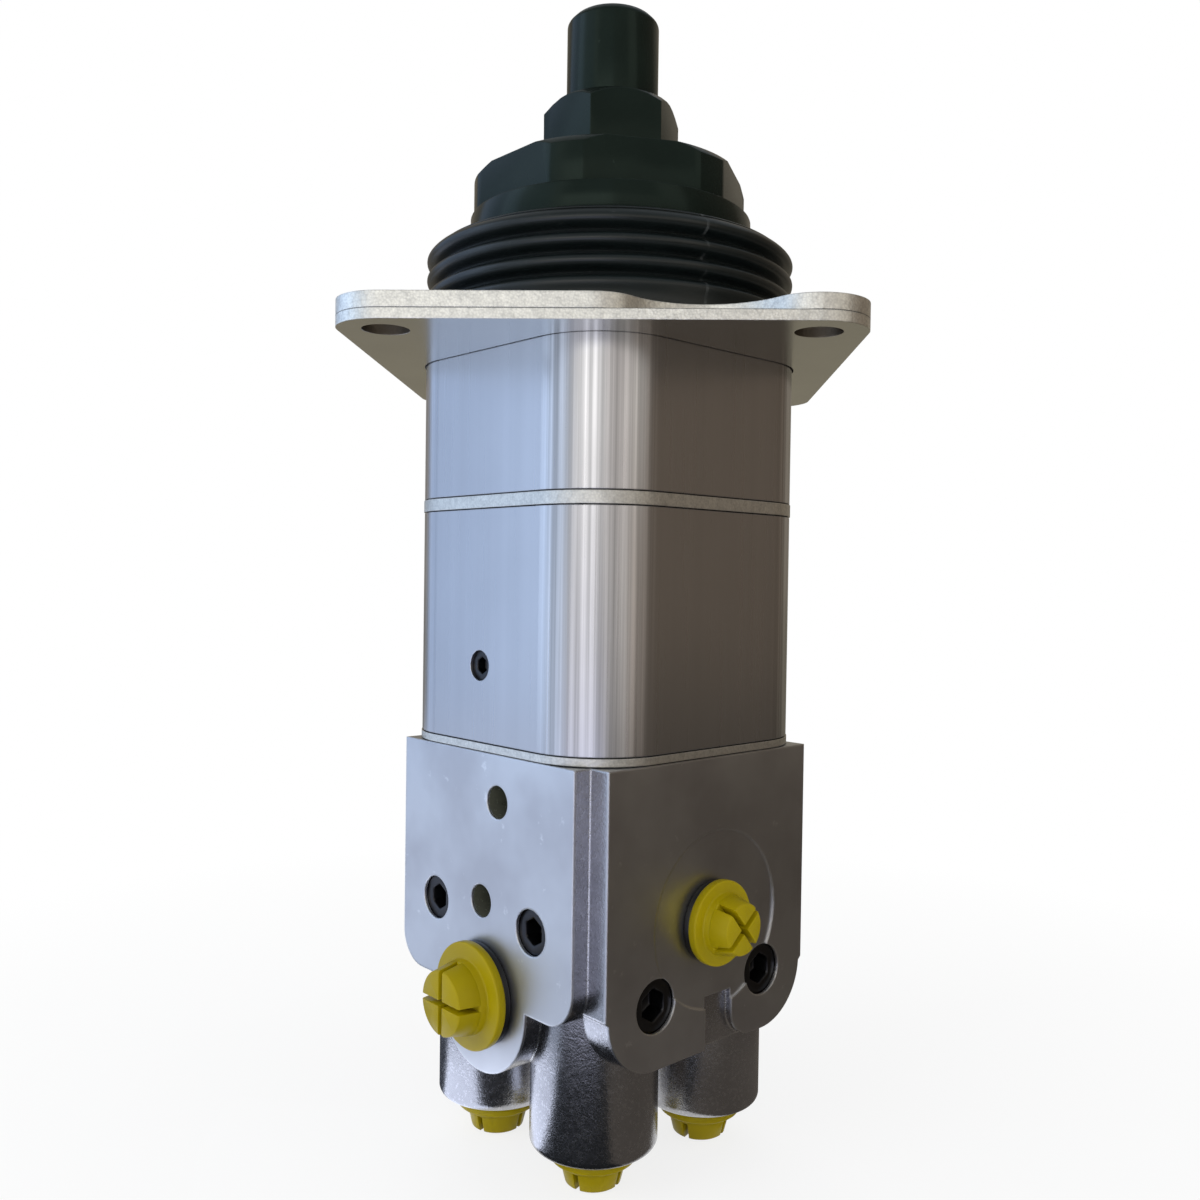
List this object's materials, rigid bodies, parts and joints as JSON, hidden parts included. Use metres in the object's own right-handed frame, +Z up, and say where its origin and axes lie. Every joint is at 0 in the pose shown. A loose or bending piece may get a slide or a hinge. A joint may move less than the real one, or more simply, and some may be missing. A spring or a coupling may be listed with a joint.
{
  "type": "hydraulic pilot joystick valve",
  "caption": "Hand-operated hydraulic pilot valve: square panel flange, rubber boot and tilting lever stub above, stacked rounded-square body and a cast port block with capped ports below",
  "frame": {"origin": "centre of the flange's underside, the face that rests on the panel", "axes": "+Z up along the upright lever, X and Y along the flange's sides, -Y towards the corner of the body nearest the camera"},
  "size_m": [0.0986, 0.0986, 0.2435],
  "materials": {
    "zinc_plate": "bright zinc plate with sheared grainy edges",
    "machined_housing": "satin machined metal",
    "plated_casting": "plated casting, satin on the machined pads",
    "gasket": "thin dark sheet",
    "yellow_plastic": "smooth moulded plastic",
    "seal_rubber": "smooth black",
    "plug_steel": "dark oiled steel",
    "guide_brass": "turned",
    "plated_steel": "turned and plated",
    "bright_steel": "ground",
    "spring_steel": "drawn wire",
    "black_coating": "gloss black coating",
    "boot_rubber": "matt black rubber"
  },
  "bodies": {
    "valve_body": {"mounting_flange_lower": "zinc_plate", "mounting_flange_upper": "zinc_plate", "middle_plate": "zinc_plate", "bottom_plate": "zinc_plate", "upper_housing": "machined_housing", "lower_housing": "machined_housing", "port_block": "plated_casting", "middle_plate_gaskets": "gasket", "bottom_plate_gaskets": "gasket", "pressure_port_cap": "yellow_plastic", "tank_port_cap": "yellow_plastic", "work_port_caps": "yellow_plastic", "pressure_cap_seal": "seal_rubber", "tank_cap_seal": "seal_rubber", "work_cap_seals": "seal_rubber", "plunger_seals": "seal_rubber", "gallery_plugs_tank_side": "plug_steel", "gallery_plugs_pressure_side": "plug_steel", "housing_set_screw": "plug_steel", "tie_screws": "plug_steel", "plunger_guides": "guide_brass", "retainer_plate": "plated_steel", "joint_pedestal": "plated_steel", "boot": "boot_rubber", "return_spring_front": "spring_steel", "control_spring_front": "spring_steel", "return_spring_right": "spring_steel", "control_spring_right": "spring_steel", "return_spring_back": "spring_steel", "control_spring_back": "spring_steel", "return_spring_left": "spring_steel", "control_spring_left": "spring_steel"},
    "gimbal": {"joint_cross": "plated_steel", "joint_pins": "bright_steel"},
    "lever": {"joint_yoke": "plated_steel", "actuating_disc": "black_coating", "lock_nut": "black_coating", "lever_stub": "black_coating"},
    "plunger_set_front": {"plunger_front": "bright_steel", "spring_seat_front": "plated_steel"},
    "spool_front": {"spool_front": "bright_steel"},
    "plunger_set_right": {"plunger_right": "bright_steel", "spring_seat_right": "plated_steel"},
    "spool_right": {"spool_right": "bright_steel"},
    "plunger_set_back": {"plunger_back": "bright_steel", "spring_seat_back": "plated_steel"},
    "spool_back": {"spool_back": "bright_steel"},
    "plunger_set_left": {"plunger_left": "bright_steel", "spring_seat_left": "plated_steel"},
    "spool_left": {"spool_left": "bright_steel"}
  },
  "joints": [
    {"name": "tilt_x", "type": "hinge", "parent": "valve_body", "child": "gimbal", "pos_m": [0, 0, 0.0127], "axis": [1, 0, 0], "range_deg": [-19, 19], "stiffness_Nm_per_rad": 3, "deforming": ["boot"]},
    {"name": "tilt_y", "type": "hinge", "parent": "gimbal", "child": "lever", "pos_m": [0, 0, 0.0127], "axis": [0, 1, 0], "range_deg": [-19, 19], "stiffness_Nm_per_rad": 3},
    {"name": "plunger_front_slide", "type": "slide", "parent": "valve_body", "child": "plunger_set_front", "axis": [0, 0, 1], "range_m": [-0.00778, 0.00778], "deforming": ["return_spring_front", "control_spring_front"]},
    {"name": "spool_front_slide", "type": "slide", "parent": "valve_body", "child": "spool_front", "axis": [0, 0, 1], "range_m": [-0.00082, 0.00082]},
    {"name": "plunger_right_slide", "type": "slide", "parent": "valve_body", "child": "plunger_set_right", "axis": [0, 0, 1], "range_m": [-0.00778, 0.00778], "deforming": ["return_spring_right", "control_spring_right"]},
    {"name": "spool_right_slide", "type": "slide", "parent": "valve_body", "child": "spool_right", "axis": [0, 0, 1], "range_m": [-0.00082, 0.00082]},
    {"name": "plunger_back_slide", "type": "slide", "parent": "valve_body", "child": "plunger_set_back", "axis": [0, 0, 1], "range_m": [-0.00778, 0.00778], "deforming": ["return_spring_back", "control_spring_back"]},
    {"name": "spool_back_slide", "type": "slide", "parent": "valve_body", "child": "spool_back", "axis": [0, 0, 1], "range_m": [-0.00082, 0.00082]},
    {"name": "plunger_left_slide", "type": "slide", "parent": "valve_body", "child": "plunger_set_left", "axis": [0, 0, 1], "range_m": [-0.00778, 0.00778], "deforming": ["return_spring_left", "control_spring_left"]},
    {"name": "spool_left_slide", "type": "slide", "parent": "valve_body", "child": "spool_left", "axis": [0, 0, 1], "range_m": [-0.00082, 0.00082]}
  ],
  "couplings": [
    {"joint": "plunger_front_slide", "follows": "tilt_x", "m_per_rad": -0.023312},
    {"joint": "spool_front_slide", "follows": "tilt_x", "m_per_rad": -0.0023312},
    {"joint": "plunger_right_slide", "follows": "tilt_y", "m_per_rad": -0.023312},
    {"joint": "spool_right_slide", "follows": "tilt_y", "m_per_rad": -0.0023312},
    {"joint": "plunger_back_slide", "follows": "tilt_x", "m_per_rad": 0.023312},
    {"joint": "spool_back_slide", "follows": "tilt_x", "m_per_rad": 0.0023312},
    {"joint": "plunger_left_slide", "follows": "tilt_y", "m_per_rad": 0.023312},
    {"joint": "spool_left_slide", "follows": "tilt_y", "m_per_rad": 0.0023312}
  ]
}
